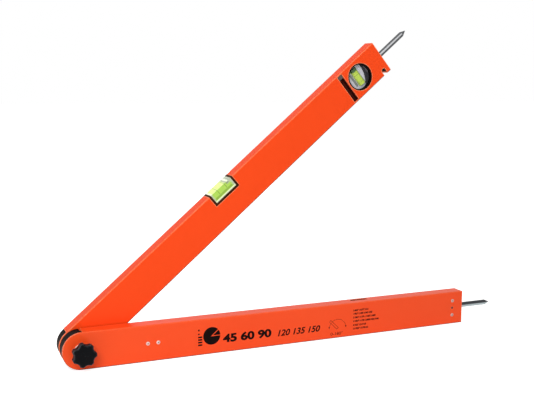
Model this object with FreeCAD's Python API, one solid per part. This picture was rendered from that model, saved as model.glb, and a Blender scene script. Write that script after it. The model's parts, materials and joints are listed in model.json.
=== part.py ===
import FreeCAD, Part
import math
import os

# Angle finder with two flat arms. One arm stands on its lower edge along +X;
# the other swings behind it about a hinge axis that lies along Y.
# Origin: on the base arm's lower measuring edge, straight below the hinge axis,
# at the middle of that arm's depth. All lengths are in millimetres.

# ---- driving dimensions ------------------------------------------------------

# arms
arm_width = 50.0            # across the arm, measuring edge to measuring edge
arm_depth = 22.0            # front wall to back wall
arm_reach = 590.7           # hinge axis to the square end of the tube
wall = 2.0                  # extruded tube wall
edge_round = 1.2            # round along the tube's long outer edges
edge_break = 0.4            # deburred edge of the round hinge cheeks
flange_start = 1.8          # edge walls start here, measured along the arm from the hinge axis
arm_gap = 1.0               # between the two arms, filled by the friction disc
opening_angle = 40.44       # angle between the arms as the tool stands here
opened_angle = 180.0        # the arms in one line

# clearances
running_gap = 0.05          # radial, for a shaft that turns or slides in its hole
seat_gap = 0.1              # round a part pushed into its seat
free_gap = 0.3              # between parts that move past each other

# hinge
bolt_radius = 4.0
bolt_square = 8.0           # square neck that keys the bolt in the swing arm
bolt_neck = 4.0             # length of the square neck
bolt_head_radius = 9.0
bolt_head_height = 4.2
hub_radius = 8.0            # pivot sleeve that turns in the base arm
hub_flange_radius = 15.0
hub_flange_thick = 2.5
hub_flat = 6.8              # half width over the flats that carry the drum
disc_inset = 4.0            # friction disc's rim, inside the round hinge ends
insert_inset = 0.8          # plastic insert stands back from the cheeks' rim
insert_rim = 3.0            # width of the insert's rim that wraps the back cheek's round end
insert_length = 112.0       # how far the insert runs up the tube from the axis
pocket_start = 30.0         # lightening pocket in the insert
pocket_end = 80.0
pocket_rim = 8.0            # material left round the pocket
pocket_floor = 3.0

# clamping knob
knob_radius = 16.0
knob_lobes = 7
flute_radius = 7.0
knob_root_radius = 13.5     # bottom of the flutes
lobe_round = 1.5
knob_height = 9.5           # lobed head, without the hub behind it
knob_dome = 1.8             # height lost from the middle to the rim of the dome
knob_rim_round = 1.2
knob_hub_radius = 8.2
knob_hub_height = 11.5      # stands the head off the arm
washer_radius = 10.2
washer_thick = 1.2
knob_insert_radius = 6.0
knob_insert_length = 15.0
knob_cover = 2.0            # plastic over the end of the bolt
bolt_end_gap = 0.5          # bolt stops short of the bottom of its hole

# angle scale band
band_room = 3.0             # underside of the band, below the inside of the arm's upper wall
drum_flange = 0.8           # height and thickness of the drum's two rims
band_width = 7.0
band_thick = 0.3
band_centre = 3.5           # middle of the band, behind the arm's middle plane
wrap_anchor = 30.0          # degrees of band left on the drum with the arms shut
band_spare = 2.0            # straight band left ahead of the drum with the arms open
index_inset = 176.0         # from the arm's end to the index line of the window
window_length = 28.0
window_width = 7.0
bezel_wall = 1.2            # black frame lining the window
bezel_lip = 4.0             # frame's lip inside the tube, past both ends of the window
bezel_lip_thick = 0.8
lens_drop = 1.1             # lens below the arm's upper edge
guide_wall = 2.5            # plastic channel that carries the band
guide_before = 42.0         # guide start, ahead of the index line
guide_after = 56.0          # guide end, past the index line
band_inset = 98.0           # from the arm's end to the end of the printed band, arms at rest
band_hole_radius = 1.4
band_hole_inset = 3.5
spring_coil_radius = 2.0
spring_wire_radius = 0.3
spring_bend_radius = 0.36   # where the coil turns into its straight lead
spring_pitch = 1.6
spring_lead = 3.5           # straight wire from hook to first coil

# arm ends
plug_length = 24.5
plug_inset = 0.3            # plug face behind the tube's cut end
socket_skin = 1.0           # plastic left behind the bottom of the socket
point_radius = 4.0
point_reach = 59.5          # steel point, from the arm's end to its tip
point_cone = 8.5
point_tip_radius = 0.35
screw_radius = 2.0          # set screw that clamps the point
screw_key_radius = 1.1
screw_key_depth = 2.0
end_rivet_inset = 17.8      # rivets and set screw, from the arm's end
end_rivet_offset = 11.2     # rivets, either side of the arm's middle line
tongue_length = 7.0         # spring anchor on the base arm's plug
tongue_thick = 1.2

# rivets
rivet_head_radius = 2.6
rivet_head_height = 0.9
rivet_crown_radius = 1.6
rivet_rim_height = 0.25
rivet_shank_radius = 1.6
rivet_length = 7.0
rivet_stem_radius = 0.9
rivet_stem_depth = 0.6
insert_rivet_places = (87.9, 102.2)     # on the arm's middle line

# folding stop
notch_inset = 10.1          # from the arm's end to the middle of the notch
notch_width = 7.0
notch_height = 10.0
stud_length = 8.0           # proud of the base arm's back
stud_tail_radius = 2.0
stud_tail = 5.0

# level vial in the swing arm's upper edge
level_start = 261.2
level_length = 43.8
level_height = 17.4
frame_side = 3.2
frame_floor = 3.4
level_drop = 0.2            # vial stands below the measuring edge
vial_face_inset = 0.1       # vial faces behind the tube's walls
level_bore_radius = 5.4
level_bore_drop = 6.6       # vial axis below the measuring edge
level_bore_margin = 2.6
level_cap_length = 2.0
level_bubble_radius = 3.3
level_bubble_length = 10.5

# round plumb vial near the swing arm's end
plumb_inset = 46.0          # from the arm's end to the vial's middle
plumb_radius = 19.5
plumb_rim = 1.7
plumb_body_inset = 8.0      # milky disc behind the arm's walls
plumb_grip_inset = 6.0
plumb_tube_radius = 6.6
plumb_tube_top = 14.4
plumb_tube_bottom = 12.6
plumb_glass = 2.4           # thickness round the bore
plumb_glass_end = 1.0
plumb_bubble_radius = 3.1
plumb_bubble_length = 7.5
grip_width = 6.0            # black crescent at its widest
grip_spread = 62.0          # half angle of the crescent
grip_lean = 20.0            # crescent's middle, from the arm's end towards the lower edge
carrier_inset = 79.0        # from the arm's end to the block inside the tube that carries the vial
slot_inset = 75.7           # from the arm's end to the slot
slot_width = 8.3
groove_side = 0.5           # groove in the carrier is narrower than the slot
groove_depth = 7.0
tab_length = 5.5
tab_gap = 0.6               # tab stands behind the front wall

# ---- derived places ----------------------------------------------------------

hinge_z = arm_width / 2
end_radius = arm_width / 2
disc_radius = end_radius - disc_inset
half_depth = arm_depth / 2
inner_half_depth = half_depth - wall
inner_half_width = hinge_z - wall
swing_front = half_depth + arm_gap
swing_back = swing_front + arm_depth
swing_middle = swing_front + half_depth
far_out = 2 * arm_width     # longer than any wall a cutter has to pass

drum_radius = inner_half_width - band_room
band_low = hinge_z + drum_radius
band_high = band_low + band_thick
band_front = band_centre - band_width / 2
band_back = band_centre + band_width / 2
drum_front = band_front - drum_flange
drum_back = inner_half_depth - free_gap
drum_rim_radius = drum_radius + drum_flange
pocket_radius = drum_rim_radius + free_gap
web_back = drum_front - free_gap
pull_radius = drum_radius + band_thick / 2
pull_out = pull_radius * math.radians(opened_angle - opening_angle)
band_start = pull_out + band_spare
band_end = arm_reach - band_inset
index_reach = arm_reach - index_inset

plug_start = arm_reach - plug_inset - plug_length
plug_end = arm_reach - plug_inset
socket_start = plug_start + socket_skin
rivet_x = arm_reach - end_rivet_inset
notch_x = arm_reach - notch_inset
notch_radius = notch_width / 2
notch_centre_z = notch_height - notch_radius
stud_radius = notch_radius - free_gap
stud_z = notch_centre_z
plumb_x = arm_reach - plumb_inset
carrier_start = arm_reach - carrier_inset
slot_start = arm_reach - slot_inset
point_tip_x = arm_reach + point_reach
vial_front = swing_front + vial_face_inset
vial_back = swing_back - vial_face_inset


# ---- small helpers -----------------------------------------------------------

def block(x0, x1, y0, y1, z0, z1):
    return Part.makeBox(x1 - x0, y1 - y0, z1 - z0, FreeCAD.Vector(x0, y0, z0))


def rod_x(radius, x0, x1, y, z):
    return Part.makeCylinder(radius, x1 - x0, FreeCAD.Vector(x0, y, z), FreeCAD.Vector(1, 0, 0))


def rod_y(radius, y0, y1, x=0.0, z=hinge_z):
    return Part.makeCylinder(radius, y1 - y0, FreeCAD.Vector(x, y0, z), FreeCAD.Vector(0, 1, 0))


def rod_z(radius, z0, z1, x, y):
    return Part.makeCylinder(radius, z1 - z0, FreeCAD.Vector(x, y, z0), FreeCAD.Vector(0, 0, 1))


def joined(shapes):
    result = shapes[0]
    for shape in shapes[1:]:
        result = result.fuse(shape)
    return result.removeSplitter()


def without(shape, cutters):
    for cutter in cutters:
        shape = shape.cut(cutter)
    return shape


def turned(profile, start, direction):
    """Turn a closed outline of (radius, travel) points about the line from start along direction."""
    axis = FreeCAD.Vector(direction)
    side = FreeCAD.Vector(0, 0, 1)
    points = [start + axis * travel + side * radius for radius, travel in profile]
    face = Part.Face(Part.makePolygon(points + points[:1]))
    return face.revolve(start, axis, 360)


def domed(radius, height, start, direction):
    """Low cap of a ball, flat side at start."""
    axis = FreeCAD.Vector(direction)
    side = FreeCAD.Vector(0, 0, 1)
    ball_radius = (radius ** 2 + height ** 2) / (2 * height)
    lean = math.asin(radius / ball_radius) / 2
    rise = height - ball_radius + ball_radius * math.cos(lean)
    middle = start + axis * rise + side * (ball_radius * math.sin(lean))
    rim = start + side * radius
    top = start + axis * height
    arc = Part.Arc(rim, middle, top).toShape()
    sides = [Part.makeLine(top, start), Part.makeLine(start, rim)]
    return Part.Face(Part.Wire([arc] + sides)).revolve(start, axis, 360)


def swing_placed(shape):
    """Turn a piece of the swing arm from the shut arms to the angle at which the tool stands."""
    placed = shape.copy()
    placed.rotate(FreeCAD.Vector(0, 0, hinge_z), FreeCAD.Vector(0, -1, 0), opening_angle)
    return placed


def export(name, shape):
    shape.exportStep(os.path.join("parts", name + ".step"))


# ---- arm tubes ---------------------------------------------------------------

def hinge_edge_break(y_face, inward):
    """Ring that takes the sharp edge off the round end of a cheek."""
    outer = end_radius + edge_break
    start = FreeCAD.Vector(0, y_face, hinge_z)
    ring = turned([(end_radius - edge_break, 0), (outer, 0), (outer, 2 * edge_break)],
                  start, FreeCAD.Vector(0, inward, 0))
    return ring.common(hinge_side(0, y_face - far_out, y_face + far_out))


def hinge_side(x_end, y0, y1):
    """Everything from beyond the hinge up to x_end, between two depths."""
    return block(-far_out, x_end, y0, y1, -arm_width, 2 * arm_width)


def cheek_rim(inner, outer, y0, y1, x_end):
    """Part ring round the hinge axis, on the side away from the arm."""
    ring = rod_y(outer, y0, y1).cut(rod_y(inner, y0, y1))
    return ring.common(hinge_side(x_end, y0, y1))


def arm_tube(front):
    """Rectangular tube with round hinge cheeks, lying shut along +X."""
    back = front + arm_depth
    stock = block(-end_radius, arm_reach, front, back, 0, arm_width)
    long_edges = [e for e in stock.Edges if abs(e.Vertexes[0].X - e.Vertexes[1].X) > arm_width]
    stock = stock.makeFillet(edge_round, long_edges)
    round_end = rod_y(end_radius, front, back)
    straight = block(0, arm_reach, front, back, 0, arm_width)
    stock = stock.common(joined([round_end, straight]))
    hollow = block(-far_out, arm_reach + far_out, front + wall, back - wall, wall, arm_width - wall)
    open_end = block(-far_out, flange_start, front + wall, back - wall, -wall, arm_width + wall)
    wrapped = cheek_rim(end_radius - insert_rim, end_radius + wall, back - wall, back, flange_start)
    return without(stock, [hollow, open_end, wrapped, hinge_edge_break(front, 1)])


def rivet_bores(places, face, inward, radius):
    bores = []
    for x, z in places:
        tip = face + inward * (rivet_length + seat_gap)
        bores.append(rod_y(radius, min(face, tip), max(face, tip), x, z))
    return bores


def insert_rivet_centres():
    return [(x, hinge_z) for x in insert_rivet_places]


def end_rivet_centres():
    return [(rivet_x, hinge_z + side * end_rivet_offset) for side in (1, -1)]


def rivets(places, face, inward):
    """Blind rivets: domed head on the wall, hollow stem, shank into the part behind."""
    made = []
    for x, z in places:
        outline = [(rivet_stem_radius, -rivet_head_height),
                   (rivet_crown_radius, -rivet_head_height),
                   (rivet_head_radius, -rivet_rim_height),
                   (rivet_head_radius, 0),
                   (rivet_shank_radius, 0),
                   (rivet_shank_radius, rivet_length),
                   (0, rivet_length),
                   (0, rivet_stem_depth - rivet_head_height),
                   (rivet_stem_radius, rivet_stem_depth - rivet_head_height)]
        made.append(turned(outline, FreeCAD.Vector(x, face, z), FreeCAD.Vector(0, inward, 0)))
    return Part.Compound(made)


def rivet_clearances(face, inward):
    radius = rivet_shank_radius + running_gap
    centres = insert_rivet_centres() + end_rivet_centres()
    return rivet_bores(centres, face, inward, radius)


def screw_bore(face, inward):
    end = face + inward * half_depth
    return rod_y(screw_radius + running_gap, min(face, end), max(face, end), rivet_x)


def set_screw(face, inward):
    """Headless screw that presses on the steel point."""
    length = half_depth - point_radius - running_gap - edge_break
    start = FreeCAD.Vector(rivet_x, face + inward * edge_break, hinge_z)
    outline = [(screw_key_radius, 0), (screw_radius - edge_break, 0), (screw_radius, edge_break),
               (screw_radius, length - edge_break), (screw_radius - edge_break, length),
               (0, length), (0, screw_key_depth), (screw_key_radius, screw_key_depth)]
    return turned(outline, start, FreeCAD.Vector(0, inward, 0))


# ---- base arm ----------------------------------------------------------------

def window_box(gap, z0, z1):
    half = window_length / 2 - gap
    return block(index_reach - half, index_reach + half,
                 band_centre - window_width / 2 + gap, band_centre + window_width / 2 - gap, z0, z1)


def make_base_tube():
    cutters = rivet_clearances(-half_depth, 1)
    cutters.append(screw_bore(-half_depth, 1))
    cutters.append(rod_y(bolt_radius + running_gap, -half_depth - wall, 0))
    cutters.append(rod_y(hub_radius + running_gap, 0, half_depth + wall))
    cutters.append(window_box(0, inner_half_width + hinge_z - wall, arm_width + wall))
    cutters.append(rod_y(stud_tail_radius + running_gap, 0, half_depth + wall, notch_x, stud_z))
    return without(arm_tube(-half_depth), cutters)


def insert_blank(front):
    """Plastic block between a tube's cheeks, round at the hinge, running up into the tube."""
    back = front + arm_depth - 2 * wall
    nose_radius = end_radius - insert_inset
    nose = rod_y(nose_radius, front, back).common(hinge_side(flange_start, front, back))
    inner = end_radius - insert_rim + seat_gap
    rim = cheek_rim(inner, nose_radius, back, back + wall, flange_start - seat_gap)
    body = block(flange_start, insert_length, front, back, wall, arm_width - wall)
    return joined([nose, rim, body])


def lightening_pocket(y0, y1, z_top):
    return block(pocket_start, pocket_end, y0, y1, wall + pocket_rim, z_top)


def make_base_hinge_insert():
    blank = insert_blank(-inner_half_depth)
    behind = inner_half_depth + wall
    cutters = rivet_clearances(-half_depth, 1)
    cutters.append(rod_y(bolt_radius + running_gap, -half_depth, half_depth))
    cutters.append(rod_y(pocket_radius, web_back, behind))
    groove_floor = band_low - drum_flange
    pocket_top = groove_floor - pocket_rim / 2
    cutters.append(block(0, insert_length + wall, web_back, behind, groove_floor, arm_width))
    cutters.append(lightening_pocket(pocket_floor - inner_half_depth, behind, pocket_top))
    return without(blank, cutters)


def end_plug(front):
    """Plastic plug in the square end of a tube, with the socket of the steel point."""
    back = front + arm_depth - 2 * wall
    middle = (front + back) / 2
    body = block(plug_start, plug_end, front, back, wall, arm_width - wall)
    socket = rod_x(point_radius + running_gap, socket_start, plug_end + wall, middle, hinge_z)
    return body.cut(socket)


def make_base_end_plug():
    tip = plug_start - tongue_length
    middle = (band_low + band_high) / 2
    tongue = block(tip, plug_start, band_front, band_back,
                   middle - tongue_thick / 2, middle + tongue_thick / 2)
    hole_x = tip + band_hole_inset
    hole = rod_z(band_hole_radius, band_low - wall, band_high + wall, hole_x, band_centre)
    body = joined([end_plug(-inner_half_depth), tongue])
    cutters = rivet_clearances(-half_depth, 1)
    cutters.append(screw_bore(-half_depth, 1))
    tail_end = half_depth - stud_tail - seat_gap
    cutters.append(rod_y(stud_tail_radius + seat_gap, tail_end, half_depth, notch_x, stud_z))
    cutters.append(hole)
    return without(body, cutters)


def make_window_frame():
    """Black frame pushed up into the window from inside, held by a lip at both ends."""
    low = arm_width - wall - bezel_lip_thick
    collar = window_box(seat_gap, low, arm_width - seat_gap)
    half = window_length / 2 + bezel_lip
    lip = block(index_reach - half, index_reach + half,
                band_centre - window_width / 2 - seat_gap, band_centre + window_width / 2 + seat_gap,
                low, arm_width - wall)
    opening = window_box(seat_gap + bezel_wall, low - wall, arm_width + wall)
    return joined([collar, lip]).cut(opening)


def make_window_lens():
    """Clear lens glued into the frame, below its rim."""
    low = arm_width - wall - bezel_lip_thick
    return window_box(2 * seat_gap + bezel_wall, low, arm_width - lens_drop)


def make_band_guide():
    """Plastic channel under the window, open at the top, that carries the band."""
    x0 = index_reach - guide_before
    x1 = index_reach + guide_after
    floor = band_low - running_gap
    front = band_front - 2 * free_gap
    back = band_back + 2 * free_gap
    body = block(x0, x1, front - guide_wall, inner_half_depth, floor - guide_wall, arm_width - wall)
    channel = block(x0 - wall, x1 + wall, front, back, floor, arm_width)
    return body.cut(channel)


def make_closing_stud():
    """Riveted stud on the back of the base arm that the notch closes over."""
    start = FreeCAD.Vector(notch_x, half_depth, stud_z)
    outline = [(0, -stud_tail), (stud_tail_radius, -stud_tail), (stud_tail_radius, 0),
               (stud_radius, 0), (stud_radius, stud_length - edge_round),
               (stud_radius - edge_round, stud_length), (0, stud_length)]
    return turned(outline, start, FreeCAD.Vector(0, 1, 0))


def make_friction_disc():
    disc = rod_y(disc_radius, half_depth, swing_front - running_gap)
    return disc.cut(rod_y(hub_radius + free_gap, 0, swing_back))


# ---- angle scale -------------------------------------------------------------

def band_strip(x0, x1):
    return block(x0, x1, band_front, band_back, band_low, band_high)


def make_scale_band():
    """Printed steel band: drawn towards the hinge as the arms open."""
    hole_x = band_end - band_hole_inset
    hole = rod_z(band_hole_radius, band_low - wall, band_high + wall, hole_x, band_centre)
    return band_strip(band_start, band_end).cut(hole)


def make_band_lead():
    return band_strip(0, band_start)


def make_wound_band():
    """The turn of band that lies on the drum as the tool stands."""
    on_drum = wrap_anchor + opening_angle
    ring = rod_y(drum_radius + band_thick, band_front, band_back)
    ring = ring.cut(rod_y(drum_radius, band_front - wall, band_back + wall))
    size = 2 * drum_radius
    front = band_front - wall
    corners = [FreeCAD.Vector(0, front, hinge_z)]
    quarters = 4
    for step in range(quarters + 1):
        angle = math.radians(90 + on_drum * step / quarters)
        corners.append(FreeCAD.Vector(size * math.cos(angle), front, hinge_z + size * math.sin(angle)))
    face = Part.Face(Part.makePolygon(corners + corners[:1]))
    return ring.common(face.extrude(FreeCAD.Vector(0, band_width + 2 * wall, 0)))


def make_band_drum():
    """Drum on the pivot sleeve: the band winds on between its two rims."""
    drum = joined([rod_y(drum_radius, drum_front, drum_back),
                   rod_y(drum_rim_radius, drum_front, band_front),
                   rod_y(drum_rim_radius, band_back, drum_back)])
    flat = hub_flat + running_gap
    bore = rod_y(hub_radius + running_gap, drum_front - wall, drum_back + wall)
    bore = bore.common(block(-flat, flat, drum_front - wall, drum_back + wall, 0, arm_width))
    return drum.cut(bore)


def spring_hook(x, band_z):
    return Part.makeTorus(spring_coil_radius, spring_wire_radius,
                          FreeCAD.Vector(x, band_centre, band_z), FreeCAD.Vector(0, 1, 0))


def make_return_spring():
    """Long extension spring that keeps the band taut."""
    z = (band_low + band_high) / 2
    left = band_end - band_hole_inset + spring_coil_radius
    right = plug_start - tongue_length + band_hole_inset - spring_coil_radius
    first = left + spring_lead
    last = right - spring_lead
    turns = max(1, math.floor((last - first) / spring_pitch))
    pitch = (last - first) / turns
    helix = Part.makeHelix(pitch, last - first, spring_coil_radius)
    section = Part.Wire([Part.makeCircle(spring_wire_radius, FreeCAD.Vector(spring_coil_radius, 0, 0),
                                         FreeCAD.Vector(0, 1, 0))])
    coil = Part.Wire(helix).makePipeShell([section], True, True)
    coil.rotate(FreeCAD.Vector(0, 0, 0), FreeCAD.Vector(0, 0, 1), 180)
    coil.rotate(FreeCAD.Vector(0, 0, 0), FreeCAD.Vector(0, 1, 0), 90)
    coil.translate(FreeCAD.Vector(first, band_centre, z))
    top = z + spring_coil_radius
    pieces = [coil]
    for hook_x, coil_x in ((left, first), (right, last)):
        lead = rod_x(spring_wire_radius, min(hook_x, coil_x), max(hook_x, coil_x), band_centre, top)
        bend = Part.makeSphere(spring_bend_radius, FreeCAD.Vector(coil_x, band_centre, top))
        pieces += [bend, lead, spring_hook(hook_x, z)]
    return joined(pieces)


# ---- swing arm ---------------------------------------------------------------

def level_cut():
    return block(level_start, level_start + level_length, swing_front - wall, swing_back + wall,
                 arm_width - level_height, arm_width + wall)


def notch_cut():
    """Notch in the lower edge that closes over the stud, right through the arm."""
    y0 = swing_front - wall
    y1 = swing_back + wall
    round_end = rod_y(notch_radius, y0, y1, notch_x, notch_centre_z)
    mouth = block(notch_x - notch_radius, notch_x + notch_radius, y0, y1, -wall, notch_centre_z)
    return joined([round_end, mouth])


def square_hole(y0, y1):
    half = bolt_square / 2 + seat_gap
    return block(-half, half, y0, y1, hinge_z - half, hinge_z + half)


def make_swing_tube():
    cutters = rivet_clearances(swing_back, -1)
    cutters.append(screw_bore(swing_back, -1))
    cutters.append(rod_y(hub_radius + running_gap, swing_front - wall, swing_middle))
    cutters.append(square_hole(swing_middle, swing_back + wall))
    cutters.append(level_cut())
    cutters.append(rod_y(plumb_radius + seat_gap, swing_front - wall, swing_back + wall, plumb_x))
    cutters.append(block(slot_start, slot_start + slot_width, swing_front - wall, swing_front + wall,
                         wall, arm_width - wall))
    cutters.append(notch_cut())
    return without(arm_tube(swing_front), cutters)


def make_swing_hinge_insert():
    blank = insert_blank(swing_front + wall)
    inner_front = swing_front + wall
    cutters = rivet_clearances(swing_back, -1)
    cutters.append(rod_y(bolt_radius + seat_gap, inner_front - wall, swing_back))
    flange_back = inner_front + hub_flange_thick
    cutters.append(rod_y(hub_flange_radius + seat_gap, inner_front - wall, flange_back + seat_gap))
    cutters.append(square_hole(swing_back - bolt_neck - seat_gap, swing_back))
    cutters.append(lightening_pocket(inner_front - wall, swing_back - wall - pocket_floor,
                                     arm_width - wall - pocket_rim))
    return without(blank, cutters)


def make_swing_end_plug():
    cutters = rivet_clearances(swing_back, -1)
    cutters.append(screw_bore(swing_back, -1))
    cutters.append(notch_cut())
    return without(end_plug(swing_front + wall), cutters)


def make_pivot_hub():
    """Flanged sleeve fixed behind the swing arm's front cheek: the base arm turns on it."""
    inner_front = swing_front + wall
    sleeve = rod_y(hub_radius, web_back + seat_gap, inner_front + hub_flange_thick)
    flange = rod_y(hub_flange_radius, inner_front, inner_front + hub_flange_thick)
    for side in (1, -1):
        near = side * hub_flat
        far = side * far_out
        sleeve = sleeve.cut(block(min(near, far), max(near, far), web_back - wall, drum_back + seat_gap,
                                  -arm_width, 2 * arm_width))
    return joined([sleeve, flange]).cut(rod_y(bolt_radius + seat_gap, -half_depth, swing_back))


def make_clamp_bolt():
    """Cup-head bolt, square under the head, that draws the two arms together."""
    under_head = FreeCAD.Vector(0, swing_back, hinge_z)
    head = domed(bolt_head_radius, bolt_head_height, under_head, FreeCAD.Vector(0, 1, 0))
    half = bolt_square / 2
    neck = block(-half, half, swing_back - bolt_neck, swing_back, hinge_z - half, hinge_z + half)
    shank = rod_y(bolt_radius, bolt_hole_bottom() + bolt_end_gap, swing_back)
    return joined([head, neck, shank])


# ---- vials -------------------------------------------------------------------

def make_level_frame():
    """Black plastic cradle pushed into the cut-out in the upper edge."""
    outer = block(level_start + seat_gap, level_start + level_length - seat_gap, vial_front, vial_back,
                  arm_width - level_height + seat_gap, arm_width - level_drop / 2)
    inner = level_block_space(0)
    return outer.cut(inner)


def level_block_space(gap):
    return block(level_start + frame_side + gap, level_start + level_length - frame_side - gap,
                 swing_front - wall + gap, swing_back + wall - gap,
                 arm_width - level_height + frame_floor + gap, arm_width + wall)


def level_axis_z():
    return arm_width - level_bore_drop


def level_bore_range():
    start = level_start + frame_side + level_bore_margin
    end = level_start + level_length - frame_side - seat_gap
    return start, end


def make_level_block():
    """Clear block with a blind bore that holds the liquid."""
    space = level_block_space(seat_gap)
    size = block(0, arm_reach, vial_front, vial_back, 0, arm_width - level_drop)
    start, end = level_bore_range()
    bore = rod_x(level_bore_radius, start, end + wall, swing_middle, level_axis_z())
    return space.common(size).cut(bore)


def level_bubble_shape(grow):
    start, end = level_bore_range()
    radius = level_bubble_radius + grow
    last = end - level_cap_length - 2 * running_gap - level_bubble_radius - running_gap
    first = last - level_bubble_length + 2 * level_bubble_radius
    z = level_axis_z() + level_bore_radius - level_bubble_radius - 3 * running_gap
    ends = [Part.makeSphere(radius, FreeCAD.Vector(x, swing_middle, z)) for x in (first, last)]
    return joined([ends[0], rod_x(radius, first, last, swing_middle, z), ends[1]])


def make_level_liquid():
    start, end = level_bore_range()
    body = rod_x(level_bore_radius - running_gap, start + running_gap, end - level_cap_length - running_gap,
                 swing_middle, level_axis_z())
    return body.cut(level_bubble_shape(running_gap))


def make_level_cap():
    start, end = level_bore_range()
    return rod_x(level_bore_radius - running_gap, end - level_cap_length, end, swing_middle, level_axis_z())


def make_plumb_ring():
    """Black rim of the round vial, flush with both walls of the arm."""
    ring = rod_y(plumb_radius, vial_front, vial_back, plumb_x)
    return ring.cut(rod_y(plumb_radius - plumb_rim, vial_front - wall, vial_back + wall, plumb_x))


def plumb_tube_range():
    return hinge_z - plumb_tube_bottom, hinge_z + plumb_tube_top


def plumb_inner_radius():
    return plumb_radius - plumb_rim - seat_gap


def grip_zone(gap):
    """Crescent on the arm-end side of the round vial, cut by a second circle."""
    inner = plumb_inner_radius()
    disc = rod_y(inner, vial_front, vial_back, plumb_x)
    half_chord = inner * math.sin(math.radians(grip_spread))
    chord_x = inner * math.cos(math.radians(grip_spread))
    depth = inner - grip_width - chord_x
    bow_radius = (half_chord ** 2 + depth ** 2) / (2 * depth)
    bow_x = plumb_x + chord_x + depth - bow_radius
    bow = rod_y(bow_radius + gap, vial_front - wall, vial_back + wall, bow_x)
    beyond = block(plumb_x + chord_x, plumb_x + far_out, vial_front, vial_back, 0, arm_width)
    zone = disc.cut(bow).common(beyond)
    zone.rotate(FreeCAD.Vector(plumb_x, 0, hinge_z), FreeCAD.Vector(0, -1, 0), -grip_lean)
    return zone


def make_plumb_body():
    """Milky disc that holds the plumb tube across the arm."""
    disc = rod_y(plumb_inner_radius(), vial_front + plumb_body_inset, vial_back - plumb_body_inset, plumb_x)
    low, high = plumb_tube_range()
    bore = rod_z(plumb_tube_radius + running_gap, low - running_gap, high + running_gap,
                 plumb_x, swing_middle)
    return without(disc, [bore, grip_zone(-seat_gap)])


def make_plumb_grip():
    slab = block(plumb_x - far_out, plumb_x + far_out, vial_front + plumb_grip_inset,
                 vial_back - plumb_grip_inset, 0, arm_width)
    return grip_zone(0).common(slab)


def make_plumb_tube():
    low, high = plumb_tube_range()
    outer = rod_z(plumb_tube_radius, low, high, plumb_x, swing_middle)
    bore_radius = plumb_tube_radius - plumb_glass
    bore = rod_z(bore_radius, low + plumb_glass_end, high - plumb_glass_end, plumb_x, swing_middle)
    return outer.cut(bore)


def plumb_bubble_shape(grow):
    low, high = plumb_tube_range()
    radius = plumb_bubble_radius + grow
    last = high - plumb_glass_end - 2 * running_gap - plumb_bubble_radius - running_gap
    first = last - plumb_bubble_length + 2 * plumb_bubble_radius
    ends = [Part.makeSphere(radius, FreeCAD.Vector(plumb_x, swing_middle, z)) for z in (first, last)]
    return joined([ends[0], rod_z(radius, first, last, plumb_x, swing_middle), ends[1]])


def make_plumb_liquid():
    low, high = plumb_tube_range()
    skin = plumb_glass_end + running_gap
    radius = plumb_tube_radius - plumb_glass - running_gap
    body = rod_z(radius, low + skin, high - skin, plumb_x, swing_middle)
    return body.cut(plumb_bubble_shape(running_gap))


def make_vial_carrier():
    """Plastic block inside the tube: holds the round vial and shows through the slot."""
    front = swing_front + wall
    body = block(carrier_start, plug_start - seat_gap, front, swing_back - wall, wall, arm_width - wall)
    bore = rod_y(plumb_radius + running_gap, front - wall, swing_back, plumb_x)
    groove = block(slot_start + groove_side, slot_start + slot_width - groove_side, front - wall,
                   front + groove_depth, wall + groove_side, arm_width - wall - groove_side)
    return without(body, [bore, groove])


def make_slot_tab():
    front = swing_front + tab_gap
    back = swing_front + wall + groove_depth
    top = arm_width - wall - groove_side - seat_gap
    side = groove_side + seat_gap
    return block(slot_start + side, slot_start + slot_width - side, front, back, top - tab_length, top)


# ---- points and knob ---------------------------------------------------------

def steel_point(y):
    """Steel point pushed into its socket."""
    start = FreeCAD.Vector(socket_start + seat_gap, y, hinge_z)
    length = point_tip_x - start.x
    outline = [(0, 0), (point_radius - edge_break, 0), (point_radius, edge_break),
               (point_radius, length - point_cone), (point_tip_radius, length - point_tip_radius),
               (0, length)]
    return turned(outline, start, FreeCAD.Vector(1, 0, 0))


def make_knob_washer():
    washer = rod_y(washer_radius, -half_depth - washer_thick, -half_depth)
    return washer.cut(rod_y(bolt_radius + seat_gap, -half_depth - wall, 0))


def knob_hub_front():
    return -half_depth - washer_thick - knob_hub_height


def bolt_hole_bottom():
    return knob_hub_front() - knob_height + knob_cover


def make_knob_insert():
    """Threaded metal bush moulded into the knob."""
    back = -half_depth - washer_thick
    bush = rod_y(knob_insert_radius, back - knob_insert_length, back)
    return bush.cut(rod_y(bolt_radius + running_gap, back - knob_insert_length - wall, back + wall))


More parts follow.
